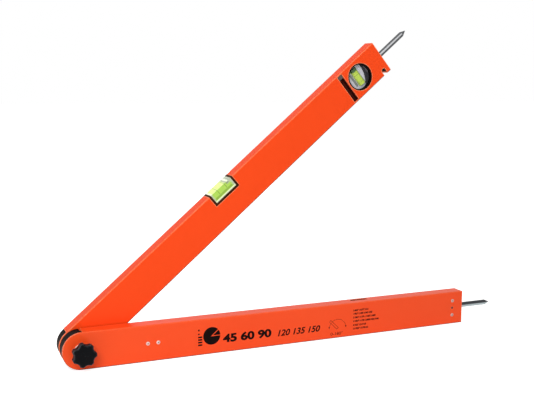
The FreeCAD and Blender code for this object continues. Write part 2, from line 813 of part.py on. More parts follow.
def make_star_knob():
    """Lobed knob with a low dome."""
    back = knob_hub_front()
    front = back - knob_height
    star = rod_y(knob_radius, front, back)
    pitch_radius = knob_root_radius + flute_radius
    for lobe in range(knob_lobes):
        angle = math.radians(360 / knob_lobes * (lobe + 0.5))
        flute = rod_y(flute_radius, front - wall, back + wall, pitch_radius * math.cos(angle),
                      hinge_z + pitch_radius * math.sin(angle))
        star = star.cut(flute)
    along = [e for e in star.Edges if len(e.Vertexes) == 2
             and abs(e.Vertexes[0].Y - e.Vertexes[1].Y) > knob_height / 2]
    star = star.makeFillet(lobe_round, along)
    ball_radius = (knob_radius ** 2 + knob_dome ** 2) / (2 * knob_dome)
    dome = Part.makeSphere(ball_radius, FreeCAD.Vector(0, front + ball_radius, hinge_z),
                           FreeCAD.Vector(0, 1, 0), -90, 90, 360)
    star = star.common(dome)
    rim_from = knob_root_radius - flute_radius / 2
    rim = [e for e in star.Edges if e.BoundBox.YMax < (front + back) / 2
           and math.hypot(e.CenterOfMass.x, e.CenterOfMass.z - hinge_z) > rim_from]
    star = star.makeFillet(knob_rim_round, rim)
    hub = rod_y(knob_hub_radius, back, -half_depth - washer_thick)
    bush_end = -half_depth - washer_thick - knob_insert_length
    bush_space = rod_y(knob_insert_radius + running_gap, bush_end - running_gap, -half_depth)
    bolt_space = rod_y(bolt_radius + seat_gap, bolt_hole_bottom(), -half_depth)
    return without(joined([star, hub]), [bush_space, bolt_space])


# ---- all nodes ---------------------------------------------------------------

def main():
    os.makedirs("parts", exist_ok=True)
    fixed = {
        "base_tube": make_base_tube(),
        "base_hinge_insert": make_base_hinge_insert(),
        "base_insert_rivets": rivets(insert_rivet_centres(), -half_depth, 1),
        "base_end_plug": make_base_end_plug(),
        "base_end_rivets": rivets(end_rivet_centres(), -half_depth, 1),
        "base_set_screw": set_screw(-half_depth, 1),
        "window_frame": make_window_frame(),
        "window_lens": make_window_lens(),
        "band_guide": make_band_guide(),
        "band_lead": make_band_lead(),
        "return_spring": make_return_spring(),
        "closing_stud": make_closing_stud(),
        "friction_disc": make_friction_disc(),
        "scale_band": make_scale_band(),
        "base_point": steel_point(0),
        "wound_band": make_wound_band(),
        "knob_washer": make_knob_washer(),
        "knob_insert": make_knob_insert(),
        "star_knob": make_star_knob(),
    }
    swinging = {
        "swing_tube": make_swing_tube(),
        "swing_hinge_insert": make_swing_hinge_insert(),
        "swing_insert_rivets": rivets(insert_rivet_centres(), swing_back, -1),
        "swing_end_plug": make_swing_end_plug(),
        "swing_end_rivets": rivets(end_rivet_centres(), swing_back, -1),
        "swing_set_screw": set_screw(swing_back, -1),
        "level_frame": make_level_frame(),
        "level_block": make_level_block(),
        "level_liquid": make_level_liquid(),
        "level_bubble": level_bubble_shape(0),
        "level_cap": make_level_cap(),
        "plumb_ring": make_plumb_ring(),
        "plumb_body": make_plumb_body(),
        "plumb_grip": make_plumb_grip(),
        "plumb_tube": make_plumb_tube(),
        "plumb_liquid": make_plumb_liquid(),
        "plumb_bubble": plumb_bubble_shape(0),
        "vial_carrier": make_vial_carrier(),
        "slot_tab": make_slot_tab(),
        "pivot_hub": make_pivot_hub(),
        "band_drum": make_band_drum(),
        "clamp_bolt": make_clamp_bolt(),
        "swing_point": steel_point(swing_middle),
    }
    for name, shape in fixed.items():
        export(name, shape)
    for name, shape in swinging.items():
        export(name, swing_placed(shape))


main()
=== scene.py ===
import json
import math

import bmesh
import bpy
from mathutils import Matrix, Vector


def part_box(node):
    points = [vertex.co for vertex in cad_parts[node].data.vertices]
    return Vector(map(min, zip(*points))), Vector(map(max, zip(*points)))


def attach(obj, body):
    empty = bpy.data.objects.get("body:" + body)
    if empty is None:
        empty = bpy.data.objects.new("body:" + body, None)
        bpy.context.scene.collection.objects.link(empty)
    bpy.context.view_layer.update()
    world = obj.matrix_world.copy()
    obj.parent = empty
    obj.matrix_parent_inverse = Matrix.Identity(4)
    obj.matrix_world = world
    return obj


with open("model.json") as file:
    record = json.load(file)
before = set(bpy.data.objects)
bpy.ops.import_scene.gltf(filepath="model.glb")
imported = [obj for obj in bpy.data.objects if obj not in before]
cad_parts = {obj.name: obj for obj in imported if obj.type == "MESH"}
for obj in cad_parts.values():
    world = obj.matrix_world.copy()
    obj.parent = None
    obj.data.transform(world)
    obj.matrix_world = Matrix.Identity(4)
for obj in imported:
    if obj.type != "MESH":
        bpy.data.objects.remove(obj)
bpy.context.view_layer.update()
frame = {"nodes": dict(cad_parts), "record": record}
cad = frame["nodes"]
print("frame loaded:", len(cad), "nodes")

milli = 0.001

# millimetres and degrees, as in the frame at rest
tool = {
    "hingeHeight": 25.0,
    "openAngle": 40.44,
    "baseFront": -11.0,
    "swingMiddle": 23.0,
}

# turns a place on the shut swing arm to where that arm stands
swingTurn = (
    Matrix.Translation((0, 0, tool["hingeHeight"] * milli))
    @ Matrix.Rotation(-math.radians(tool["openAngle"]), 4, "Y")
    @ Matrix.Translation((0, 0, -tool["hingeHeight"] * milli))
)


# camera, floor and light

view = {
    "place": (-0.2072, -1.0884, 0.3722),
    "look": (0.3933, 0.9091, -0.1375),
    "up": (0.0489, 0.1286, 0.9905),
    "lens": 58.0,
    "sensor": 36.0,
    "near": 0.01,
    "far": 60.0,
}


def makeCamera():
    data = bpy.data.cameras.new("viewCamera")
    data.lens = view["lens"]
    data.sensor_width = view["sensor"]
    data.dof.use_dof = False
    data.clip_start = view["near"]
    data.clip_end = view["far"]
    camera = bpy.data.objects.new("viewCamera", data)
    bpy.context.scene.collection.objects.link(camera)
    back = -Vector(view["look"]).normalized()
    right = Vector(view["up"]).cross(back).normalized()
    up = back.cross(right)
    turn = Matrix((right, up, back)).transposed().to_4x4()
    camera.matrix_world = Matrix.Translation(view["place"]) @ turn
    bpy.context.scene.camera = camera


lamps = {
    "keyLight": {"place": (-0.75, -1.5, 1.15), "aim": (0.22, 0.0, 0.12),
                 "size": 1.0, "power": 21.0, "inGloss": True},
    "fillLight": {"place": (1.3, -1.7, 0.9), "aim": (0.3, 0.0, 0.15),
                  "size": 1.4, "power": 1.3, "inGloss": True},
    "topLight": {"place": (-0.3, -0.35, 1.8), "aim": (0.25, 0.0, 0.15),
                 "size": 0.8, "power": 6.3, "inGloss": True},
    "backLight": {"place": (0.5, 2.2, 0.5), "aim": (0.3, 0.0, 0.15),
                  "size": 1.2, "power": 8.0, "inGloss": False},
}


def makeLamps():
    for name, lamp in lamps.items():
        data = bpy.data.lights.new(name, "AREA")
        data.shape = "SQUARE"
        data.size = lamp["size"]
        data.energy = lamp["power"]
        light = bpy.data.objects.new(name, data)
        light.location = lamp["place"]
        aim = Vector(lamp["aim"]) - Vector(lamp["place"])
        light.rotation_euler = aim.to_track_quat("-Z", "Y").to_euler()
        light.visible_glossy = lamp["inGloss"]
        bpy.context.scene.collection.objects.link(light)


def addNode(tree, kind, values=None, **settings):
    node = tree.nodes.new(kind)
    for name, value in settings.items():
        setattr(node, name, value)
    for name, value in (values or {}).items():
        node.inputs[name].default_value = value
    return node


def addRange(tree, low, high, toLow=0.0, toHigh=1.0):
    # turns low to high into toLow to toHigh and holds the ends beyond them
    values = {"From Min": low, "From Max": high, "To Min": toLow, "To Max": toHigh}
    return addNode(tree, "ShaderNodeMapRange", values)


def seenDirectly(tree):
    # 1 for the camera and for what shows in metal and through glass, 0 for light that falls on things
    path = addNode(tree, "ShaderNodeLightPath")
    seen = path.outputs["Is Camera Ray"]
    for ray in ("Is Glossy Ray", "Is Transmission Ray"):
        either = addNode(tree, "ShaderNodeMath", operation="MAXIMUM")
        tree.links.new(seen, either.inputs[0])
        tree.links.new(path.outputs[ray], either.inputs[1])
        seen = either.outputs[0]
    return seen


studio = {
    "roomLevel": 0.4,      # what falls on things
    "seenLevel": 1.0,      # plain white where the room itself shows
    "floorDepth": -0.00025,
    "floorReach": 12.0,
    "floorColor": (0.86, 0.86, 0.86, 1),
    "floorLift": 0.72,
}


def makeRoom():
    world = bpy.data.worlds.new("studioRoom")
    bpy.context.scene.world = world
    world.use_nodes = True
    tree = world.node_tree
    tree.nodes.clear()
    white = (1, 1, 1, 1)
    lit = addNode(tree, "ShaderNodeBackground", {"Color": white, "Strength": studio["roomLevel"]})
    seen = addNode(tree, "ShaderNodeBackground", {"Color": white, "Strength": studio["seenLevel"]})
    mix = addNode(tree, "ShaderNodeMixShader")
    out = addNode(tree, "ShaderNodeOutputWorld")
    tree.links.new(seenDirectly(tree), mix.inputs["Fac"])
    tree.links.new(lit.outputs[0], mix.inputs[1])
    tree.links.new(seen.outputs[0], mix.inputs[2])
    tree.links.new(mix.outputs[0], out.inputs["Surface"])


def makeFloor():
    reach = studio["floorReach"]
    mesh = bpy.data.meshes.new("studioFloor")
    corners = [(-reach, -reach, 0), (reach, -reach, 0), (reach, reach, 0), (-reach, reach, 0)]
    mesh.from_pydata(corners, [], [(0, 1, 2, 3)])
    floor = bpy.data.objects.new("studioFloor", mesh)
    floor.location.z = studio["floorDepth"]
    bpy.context.scene.collection.objects.link(floor)
    material = bpy.data.materials.new("floorPaper")
    material.use_nodes = True
    tree = material.node_tree
    tree.nodes.clear()
    paper = addNode(tree, "ShaderNodeBsdfDiffuse", {"Color": studio["floorColor"]})
    lift = addNode(tree, "ShaderNodeEmission", {"Color": (1, 1, 1, 1), "Strength": studio["floorLift"]})
    both = addNode(tree, "ShaderNodeAddShader")
    mix = addNode(tree, "ShaderNodeMixShader")
    out = addNode(tree, "ShaderNodeOutputMaterial")
    tree.links.new(paper.outputs[0], both.inputs[0])
    tree.links.new(lift.outputs[0], both.inputs[1])
    tree.links.new(seenDirectly(tree), mix.inputs["Fac"])
    tree.links.new(paper.outputs[0], mix.inputs[1])
    tree.links.new(both.outputs[0], mix.inputs[2])
    tree.links.new(mix.outputs[0], out.inputs["Surface"])
    mesh.materials.append(material)


makeCamera()
makeLamps()
makeRoom()
makeFloor()
bpy.context.scene.view_settings.view_transform = "Standard"
print("camera, lamps and floor made")


# shader groups shared by the finishes

# where each mask starts and where it is full
maskSpans = {
    "sharp": (0.995, 0.86),     # cosine between the surface and its rounded self
    "patchy": (0.3, 0.62),      # height of the noise, as in the next two
    "drift": (0.32, 0.68),
    "grain": (0.3, 0.7),
    "down": (-0.03, -0.14),     # how far the surface faces up, as in the next two
    "flat": (-0.99, -0.94),
    "up": (0.1, 0.35),
    "back": (0.02, 0.1),        # how far it faces back
}
leastEdgeTint = 0.35                # edge wear and painted highlight where the noise is low


def newGroup(name, inputs, outputs):
    group = bpy.data.node_groups.new(name, "ShaderNodeTree")
    for label, kind, value in inputs:
        socket = group.interface.new_socket(name=label, in_out="INPUT", socket_type="NodeSocket" + kind)
        socket.default_value = value
    for label, kind in outputs:
        group.interface.new_socket(name=label, in_out="OUTPUT", socket_type="NodeSocket" + kind)
    return group, group.nodes.new("NodeGroupInput"), group.nodes.new("NodeGroupOutput")


def makeSurfaceGrain():
    group, given, result = newGroup(
        "surfaceGrain",
        [("Scale", "Float", 1000.0), ("Depth", "Float", 0.00001)],
        [("Normal", "Vector"), ("Mask", "Float")],
    )
    place = addNode(group, "ShaderNodeTexCoord")
    noise = addNode(group, "ShaderNodeTexNoise", {"Detail": 3.0, "Roughness": 0.55})
    bump = addNode(group, "ShaderNodeBump", {"Strength": 1.0})
    link = group.links.new
    link(place.outputs["Object"], noise.inputs["Vector"])
    link(given.outputs["Scale"], noise.inputs["Scale"])
    link(noise.outputs["Fac"], bump.inputs["Height"])
    link(given.outputs["Depth"], bump.inputs["Distance"])
    link(bump.outputs["Normal"], result.inputs["Normal"])
    link(noise.outputs["Fac"], result.inputs["Mask"])
    return group


def makeEdgeWear():
    # a mask along sharp edges: wear on most finishes, a painted highlight on the orange coats and the knob
    group, given, result = newGroup(
        "edgeWearAndHighlight",
        [("Radius", "Float", 0.001), ("Breakup", "Float", 120.0)],
        [("Mask", "Float")],
    )
    bevel = addNode(group, "ShaderNodeBevel", samples=4)
    surface = addNode(group, "ShaderNodeNewGeometry")
    along = addNode(group, "ShaderNodeVectorMath", operation="DOT_PRODUCT")
    sharp = addRange(group, *maskSpans["sharp"])
    place = addNode(group, "ShaderNodeTexCoord")
    noise = addNode(group, "ShaderNodeTexNoise", {"Detail": 4.0, "Roughness": 0.6})
    patchy = addRange(group, *maskSpans["patchy"], leastEdgeTint)
    mask = addNode(group, "ShaderNodeMath", operation="MULTIPLY")
    link = group.links.new
    link(given.outputs["Radius"], bevel.inputs["Radius"])
    link(bevel.outputs["Normal"], along.inputs[0])
    link(surface.outputs["Normal"], along.inputs[1])
    link(along.outputs["Value"], sharp.inputs["Value"])
    link(place.outputs["Object"], noise.inputs["Vector"])
    link(given.outputs["Breakup"], noise.inputs["Scale"])
    link(noise.outputs["Fac"], patchy.inputs["Value"])
    link(sharp.outputs["Result"], mask.inputs[0])
    link(patchy.outputs["Result"], mask.inputs[1])
    link(mask.outputs[0], result.inputs["Mask"])
    return group


def makeToneDrift():
    group, given, result = newGroup(
        "toneDrift",
        [("Tone", "Color", (0.5, 0.5, 0.5, 1)), ("Second Tone", "Color", (0.4, 0.4, 0.4, 1)),
         ("Scale", "Float", 8.0), ("Amount", "Float", 0.5)],
        [("Color", "Color")],
    )
    place = addNode(group, "ShaderNodeTexCoord")
    noise = addNode(group, "ShaderNodeTexNoise", {"Detail": 5.0, "Roughness": 0.62})
    spread = addRange(group, *maskSpans["drift"])
    share = addNode(group, "ShaderNodeMath", operation="MULTIPLY")
    mix = addNode(group, "ShaderNodeMix", data_type="RGBA")
    link = group.links.new
    link(place.outputs["Object"], noise.inputs["Vector"])
    link(given.outputs["Scale"], noise.inputs["Scale"])
    link(noise.outputs["Fac"], spread.inputs["Value"])
    link(spread.outputs["Result"], share.inputs[0])
    link(given.outputs["Amount"], share.inputs[1])
    link(share.outputs[0], mix.inputs["Factor"])
    link(given.outputs["Tone"], mix.inputs[6])
    link(given.outputs["Second Tone"], mix.inputs[7])
    link(mix.outputs[2], result.inputs["Color"])
    return group


def makeToolLines():
    # fine lines across a turned, drawn or sanded surface; Angle leans them about Y
    group, given, result = newGroup(
        "toolLines",
        [("Angle", "Float", 0.0), ("Across", "Float", 4000.0),
         ("Along", "Float", 20.0), ("Depth", "Float", 0.000004)],
        [("Normal", "Vector"), ("Mask", "Float")],
    )
    place = addNode(group, "ShaderNodeTexCoord")
    lean = addNode(group, "ShaderNodeVectorRotate", rotation_type="Y_AXIS")
    stretch = addNode(group, "ShaderNodeCombineXYZ")
    scaled = addNode(group, "ShaderNodeVectorMath", operation="MULTIPLY")
    noise = addNode(group, "ShaderNodeTexNoise", {"Scale": 1.0, "Detail": 2.0, "Roughness": 0.7})
    bump = addNode(group, "ShaderNodeBump", {"Strength": 1.0})
    link = group.links.new
    link(place.outputs["Object"], lean.inputs["Vector"])
    link(given.outputs["Angle"], lean.inputs["Angle"])
    link(given.outputs["Across"], stretch.inputs["X"])
    link(given.outputs["Along"], stretch.inputs["Y"])
    link(given.outputs["Along"], stretch.inputs["Z"])
    link(lean.outputs["Vector"], scaled.inputs[0])
    link(stretch.outputs["Vector"], scaled.inputs[1])
    link(scaled.outputs["Vector"], noise.inputs["Vector"])
    link(noise.outputs["Fac"], bump.inputs["Height"])
    link(given.outputs["Depth"], bump.inputs["Distance"])
    link(bump.outputs["Normal"], result.inputs["Normal"])
    link(noise.outputs["Fac"], result.inputs["Mask"])
    return group


def makeRoundedEdges():
    # 1 on an arm's rounded lower edges and on its upper back one, where shade is painted; Lean is the arm's
    # own tilt
    group, given, result = newGroup("roundedEdges", [("Lean", "Float", 0.0)], [("Mask", "Float")])
    surface = addNode(group, "ShaderNodeNewGeometry")
    own = addNode(group, "ShaderNodeVectorTransform", vector_type="NORMAL",
                  convert_from="WORLD", convert_to="OBJECT")
    level = addNode(group, "ShaderNodeVectorRotate", rotation_type="Y_AXIS")
    parts = addNode(group, "ShaderNodeSeparateXYZ")
    down = addRange(group, *maskSpans["down"])
    flat = addRange(group, *maskSpans["flat"])
    lower = addNode(group, "ShaderNodeMath", operation="MULTIPLY")
    up = addRange(group, *maskSpans["up"])
    back = addRange(group, *maskSpans["back"])
    upper = addNode(group, "ShaderNodeMath", operation="MULTIPLY")
    both = addNode(group, "ShaderNodeMath", operation="MAXIMUM")
    link = group.links.new
    link(surface.outputs["Normal"], own.inputs["Vector"])
    link(own.outputs["Vector"], level.inputs["Vector"])
    link(given.outputs["Lean"], level.inputs["Angle"])
    link(level.outputs["Vector"], parts.inputs["Vector"])
    for height in (down, flat, up):
        link(parts.outputs["Z"], height.inputs["Value"])
    link(parts.outputs["Y"], back.inputs["Value"])
    link(down.outputs["Result"], lower.inputs[0])
    link(flat.outputs["Result"], lower.inputs[1])
    link(up.outputs["Result"], upper.inputs[0])
    link(back.outputs["Result"], upper.inputs[1])
    link(lower.outputs[0], both.inputs[0])
    link(upper.outputs[0], both.inputs[1])
    link(both.outputs[0], result.inputs["Mask"])
    return group


def makeZoneMask():
    # 1 above Edge, 0 below it, over a fading width
    group, given, result = newGroup(
        "zoneMask",
        [("Value", "Float", 0.0), ("Edge", "Float", 0.0), ("Fade", "Float", 0.0001)],
        [("Mask", "Float")],
    )
    away = addNode(group, "ShaderNodeMath", operation="SUBTRACT")
    scaled = addNode(group, "ShaderNodeMath", operation="DIVIDE")
    middle = addNode(group, "ShaderNodeMath", {1: 0.5}, operation="ADD", use_clamp=True)
    link = group.links.new
    link(given.outputs["Value"], away.inputs[0])
    link(given.outputs["Edge"], away.inputs[1])
    link(away.outputs[0], scaled.inputs[0])
    link(given.outputs["Fade"], scaled.inputs[1])
    link(scaled.outputs[0], middle.inputs[0])
    link(middle.outputs[0], result.inputs["Mask"])
    return group


surfaceGrain = makeSurfaceGrain()
edgeWearAndHighlight = makeEdgeWear()
toneDrift = makeToneDrift()
toolLines = makeToolLines()
roundedEdges = makeRoundedEdges()
zoneMask = makeZoneMask()
print("shader groups made")


def useGroup(tree, group, values):
    node = tree.nodes.new("ShaderNodeGroup")
    node.node_tree = group
    for name, value in values.items():
        node.inputs[name].default_value = value
    return node


def paint(tone):
    # a colour given as red, green and blue from 0 to 255
    def level(value):
        share = value / 255
        return share / 12.92 if share <= 0.04045 else ((share + 0.055) / 1.055) ** 2.4
    return tuple(level(value) for value in tone) + (1,)


# places of the dark rings round each vial; along is the place on the vial's axis, in millimetres
vialRings = {
    "levelAxisHeight": 43.4,
    "levelRadius": 5.365,
    "levelPlaces": (276.0, 289.5),
    "plumbAxis": 544.7,
    "plumbRadius": 4.165,
    "plumbPlaces": (17.4, 29.0),
    "wide": 0.45,
    "thick": 0.025,
    "steps": 48,
    "shadeHalf": 0.4,
}


def ringSpans(places, fade):
    # where the rings show through the clear walls
    half = vialRings["shadeHalf"]
    return [(place - half, place + half, fade) for place in places]


rivetStem = {"half": 0.7, "fade": 0.3}


def rivetStems(node):
    # the open stems of two round heads, from the box round both, in millimetres
    low, high = (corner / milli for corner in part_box(node))
    reach = min(high.x - low.x, high.z - low.z) / 2
    half, fade = rivetStem["half"], rivetStem["fade"]
    boxes = []
    for x, z in ((low.x + reach, low.z + reach), (high.x - reach, high.z - reach)):
        boxes.append({"along": (x - half, x + half, fade), "up": (z - half, z + half, fade)})
    return boxes


# patches of another colour over a finish, later ones over earlier ones; along, across and up give
# the low end, the high end and the fade in the shut arm's own directions, in millimetres
levelFront = {"across": (None, 12.6, 0.1)}
levelTop = {"up": (49.72, None, 0.12)}
levelZones = {
    "paleBody": {"color": (196, 206, 180), "share": 0.8, "glow": 0.1,
                 "boxes": [{"along": (264.0, 302.2, 0.2)}]},
    "liquidAbove": {"color": (226, 250, 124), "share": 0.9, "glow": 0.25,
                    "boxes": [dict(levelTop, along=(267.0, 291.0, 2.6))]},
    "paleEnds": {"color": (242, 250, 216), "share": 0.85, "glow": 0.3,
                 "boxes": [dict(levelTop, along=(None, 267.0, 1.8)),
                           dict(levelTop, along=(293.8, 296.6, 0.8))]},
    "darkEnds": {"color": (116, 130, 92), "share": 0.6, "glow": 0.0,
                 "boxes": [dict(levelTop, along=(291.6, 292.4, 0.5), across=(15.0, 30.0, 2.0)),
                           dict(levelTop, along=(298.0, 299.0, 0.5), across=(13.0, 27.0, 2.0))]},
    "liquidBefore": {"color": (160, 204, 54), "share": 0.9, "glow": 0.19,
                     "boxes": [dict(levelFront, along=(266.2, 299.0, 2.8), up=(37.8, 49.72, 0.7))],
                     "without": [{"along": (293.0, None, 2.4), "up": (46.2, None, 1.6)}]},
    # painted shade: the liquid is darker in the lower part of the bore
    "lowerLiquidShade": {"color": (126, 164, 46), "share": 0.75, "glow": 0.06,
                   "boxes": [dict(levelFront, along=(267.0, 298.0, 2.0), up=(39.2, 42.2, 0.9))]},
    "paleFloor": {"color": (222, 230, 184), "share": 0.9, "glow": 0.2,
                  "boxes": [dict(levelFront, along=(264.8, 301.2, 0.5), up=(36.7, 38.6, 0.5))]},
    "darkCorner": {"color": (112, 128, 84), "share": 0.75, "glow": 0.0,
                   "boxes": [dict(levelFront, along=(291.8, 296.6, 1.2), up=(46.8, 48.6, 0.8))]},
    "ringShades": {"color": (104, 136, 44), "share": 0.75, "glow": 0.0,
                   "boxes": [{"along": span, "up": (42.5, None, 1.5)}
                             for span in ringSpans(vialRings["levelPlaces"], 0.2)]},
}

# the plumb vial: thick round glass swells the green almost to its own width, with a dark green end
plumbGlassZones = {
    "paleGlass": {"color": (190, 202, 150), "share": 0.8, "glow": 0.08, "boxes": [{"up": (12.0, 35.0, 1.0)}]},
    "wideLiquid": {"color": (176, 202, 62), "share": 0.94, "glow": 0.2,
                   "boxes": [{"along": (539.7, 548.4, 1.0), "up": (12.0, 35.4, 1.4)}]},
    "darkEnd": {"color": (58, 100, 44), "share": 0.9, "glow": 0.0,
                "boxes": [{"along": (540.4, 548.8, 0.8), "up": (34.4, None, 1.6)}]},
    "ringShades": {"color": (120, 140, 44), "share": 0.6, "glow": 0.0,
                   "boxes": [{"along": (539.7, 548.4, 0.8), "up": span}
                             for span in ringSpans(vialRings["plumbPlaces"], 0.4)]},
}
plumbBodyZones = {
    # painted shade in the body's seat beside the tube
    "shadeBesideTube": {"color": (96, 104, 90), "share": 0.85, "glow": 0.0,
                 "boxes": [{"along": (534.6, 538.3, 0.9), "up": (14.0, 34.6, 1.6)}]},
}
gripZones = {
    # painted highlight on the grip near its rim
    "rimHighlight": {"color": (118, 110, 114), "share": 0.75, "glow": 0.0,
                "boxes": [{"along": (560.4, None, 1.0), "up": (20.0, 36.0, 2.0)}]},
}
rivetZones = {
    # painted shade in the hollow of each rivet's open stem
    "stemHoleShade": {"color": (112, 44, 36), "share": 0.9, "glow": 0.0,
                  "boxes": rivetStems("base_end_rivets") + rivetStems("base_insert_rivets")},
}


# what every solid finish starts from; lean is the tilt of the arm that the piece sits in, in degrees
plainFinish = {
    "driftScale": 9.0, "driftAmount": 0.5, "lean": 0.0, "zones": {},
    "edge": None, "edgeRadius": 0.0008, "edgeAmount": 0.5, "edgeBreakup": 160.0, "edgeShade": None,
    "rough": 0.5, "roughSpread": 0.12, "metallic": 0.0, "specular": 0.5, "coat": 0.0, "coatRough": 0.2,
    "grainScale": 1500.0, "grainDepth": 0.000008,
    "lines": False, "lineAcross": 4000.0, "lineAlong": 20.0, "lineDepth": 0.000004,
    "slant": None, "slantStart": 0.06, "slantStop": 0.16,
    "lower": None, "lowerStart": 0.22, "lowerStop": -0.06,
}

# named as the record's material slots, or for the one piece that differs from its slot
finishes = {
    # the coat's edge tone is partly wear and partly a painted highlight; its darker tone on the rounded lower
    # edges is painted shade
    "orange_coat": {"tone": (251, 82, 29), "second": (248, 76, 25), "edge": (255, 165, 118),
                    "edgeShade": (128, 44, 24), "edgeRadius": 0.0018, "edgeAmount": 0.85, "rough": 0.44,
                    "specular": 0.16, "coat": 0.12, "coatRough": 0.24, "grainScale": 900.0,
                    "grainDepth": 0.000014, "driftScale": 7.0},
    # the same orange paint again for the swing arm, a little redder with a brighter painted edge highlight,
    # matched to how that arm is lit; its darker tone on the rounded lower edges is painted shade
    "swing_orange": {"tone": (252, 77, 24), "second": (250, 73, 21), "edge": (255, 186, 136),
                     "edgeShade": (128, 44, 24), "edgeRadius": 0.002, "edgeAmount": 1.0, "rough": 0.46,
                     "specular": 0.08, "coat": 0.05, "coatRough": 0.24, "grainScale": 900.0,
                     "grainDepth": 0.000014, "driftScale": 7.0, "lean": tool["openAngle"]},
    "black_nylon": {"tone": (12, 6, 5), "second": (22, 12, 10), "edge": (52, 36, 32), "rough": 0.6,
                    "specular": 0.04, "grainScale": 2400.0, "grainDepth": 0.000012, "driftScale": 60.0},
    # the knob's grey edge tone is a painted highlight on its rims
    "knob_black": {"tone": (6, 7, 10), "second": (10, 12, 16), "edge": (112, 118, 124),
                   "edgeRadius": 0.0026, "edgeAmount": 0.8, "rough": 0.32, "specular": 0.06,
                   "grainScale": 2600.0, "grainDepth": 0.000008, "driftScale": 90.0},
    "rivet_alloy": {"tone": (206, 207, 210), "second": (176, 178, 182), "edge": (236, 236, 238),
                    "rough": 0.3, "metallic": 1.0, "grainScale": 3000.0, "grainDepth": 0.000006,
                    "driftScale": 300.0},
    "black_screw": {"tone": (74, 66, 64), "second": (52, 46, 46), "edge": (150, 140, 136), "rough": 0.38,
                    "metallic": 0.9, "grainScale": 3000.0, "driftScale": 400.0},
    "bright_steel": {"tone": (200, 202, 206), "second": (170, 174, 180), "edge": (232, 232, 234),
                     "rough": 0.26, "metallic": 1.0, "lines": True, "driftScale": 80.0},
    # the near white tone is a painted highlight, and the dark slant tone a painted reflection
    "point_steel": {"tone": (246, 248, 250), "second": (232, 236, 240), "slant": (70, 72, 75),
                    "rough": 0.34, "metallic": 0.08, "lines": True, "lineAcross": 2500.0,
                    "lineDepth": 0.0000005, "driftScale": 120.0, "lean": tool["openAngle"]},
    "spring_steel": {"tone": (150, 150, 154), "second": (120, 120, 124), "rough": 0.3, "metallic": 1.0,
                     "grainScale": 4000.0, "driftScale": 300.0},
    "band_steel": {"tone": (236, 232, 214), "second": (226, 221, 200), "edge": (200, 196, 184),
                   "rough": 0.36, "coat": 0.3, "grainScale": 2000.0, "grainDepth": 0.000003,
                   "driftScale": 40.0},
    "hub_alloy": {"tone": (196, 197, 202), "second": (170, 172, 178), "rough": 0.3, "metallic": 1.0,
                  "lines": True, "driftScale": 100.0},
    "drum_nylon": {"tone": (224, 220, 206), "second": (208, 203, 186), "rough": 0.5, "grainScale": 2000.0,
                   "driftScale": 60.0},
    "fibre": {"tone": (88, 70, 56), "second": (58, 46, 38), "rough": 0.85, "roughSpread": 0.2,
              "grainScale": 1800.0, "grainDepth": 0.00004, "driftScale": 700.0, "driftAmount": 0.8},
    "brass_bush": {"tone": (206, 168, 92), "second": (178, 140, 72), "rough": 0.28, "metallic": 1.0,
                   "lines": True, "driftScale": 100.0},
    "milky": {"tone": (214, 214, 221), "second": (196, 196, 206), "rough": 0.3, "coat": 0.3,
              "grainScale": 1200.0, "grainDepth": 0.000004, "driftScale": 160.0, "driftAmount": 0.7,
              "lean": tool["openAngle"], "zones": plumbBodyZones},
    "grey_tab": {"tone": (80, 70, 66), "second": (64, 56, 52), "edge": (108, 98, 94), "rough": 0.5,
                 "grainScale": 2400.0, "driftScale": 200.0},
    # painted light: the window frame's red-brown is lifted so that the frame, in the shade of its slit,
    # renders as the slit looks
    "window_nylon": {"tone": (176, 60, 26), "second": (160, 54, 24), "rough": 0.6, "specular": 0.05,
                     "grainScale": 2400.0, "driftScale": 60.0},
    "frame_nylon": {"tone": (58, 27, 8), "second": (66, 33, 13), "rough": 0.6, "specular": 0.05,
                    "grainScale": 2400.0, "grainDepth": 0.000012, "driftScale": 60.0},
    "dull_screw": {"tone": (150, 78, 66), "second": (120, 58, 48), "rough": 0.45, "metallic": 0.3,
                   "grainScale": 3000.0, "driftScale": 400.0},
    "grip_nylon": {"tone": (44, 43, 48), "second": (62, 60, 66), "rough": 0.5, "specular": 0.15,
                   "grainScale": 2000.0, "grainDepth": 0.00002, "driftScale": 420.0, "driftAmount": 0.8,
                   "lean": tool["openAngle"], "zones": gripZones},
    "slot_nylon": {"tone": (78, 27, 18), "second": (60, 26, 20), "rough": 0.6, "specular": 0.05,
                   "grainScale": 2400.0, "driftScale": 60.0},
    "front_rivet": {"tone": (232, 204, 196), "second": (216, 186, 178), "edge": (250, 226, 218),
                    "rough": 0.5, "metallic": 0.1, "specular": 0.3, "grainScale": 3000.0,
                    "driftScale": 300.0, "zones": rivetZones},
    "front_end_rivet": {"tone": (214, 178, 170), "second": (196, 158, 150), "rough": 0.5, "metallic": 0.1,
                        "specular": 0.3, "grainScale": 3000.0, "driftScale": 300.0, "zones": rivetZones},
    # the near white tone stands in for the highlight on the washer's edge: a painted highlight
    "plated_washer_glint": {"tone": (255, 238, 226), "second": (246, 226, 214), "rough": 0.28, "metallic": 0.15,
                      "specular": 0.7, "lines": True, "lineDepth": 0.000001, "driftScale": 200.0},
    # the dark tone and the lighter underside are painted reflections, of the room above and the floor below
    "base_point_steel": {"tone": (48, 50, 54), "second": (40, 42, 46), "lower": (166, 178, 180),
                         "rough": 0.34, "metallic": 0.5, "lines": True, "lineAcross": 2500.0,
                         "lineDepth": 0.0000005, "driftScale": 120.0},
    "print_ink": {"tone": (14, 5, 4), "second": (24, 9, 6), "rough": 0.6, "specular": 0.05,
                  "grainScale": 3000.0, "grainDepth": 0.000003, "driftScale": 120.0},
    "index_red": {"tone": (196, 26, 20), "second": (176, 20, 16), "rough": 0.4, "grainScale": 3000.0,
                  "grainDepth": 0.000003, "driftScale": 300.0},
}

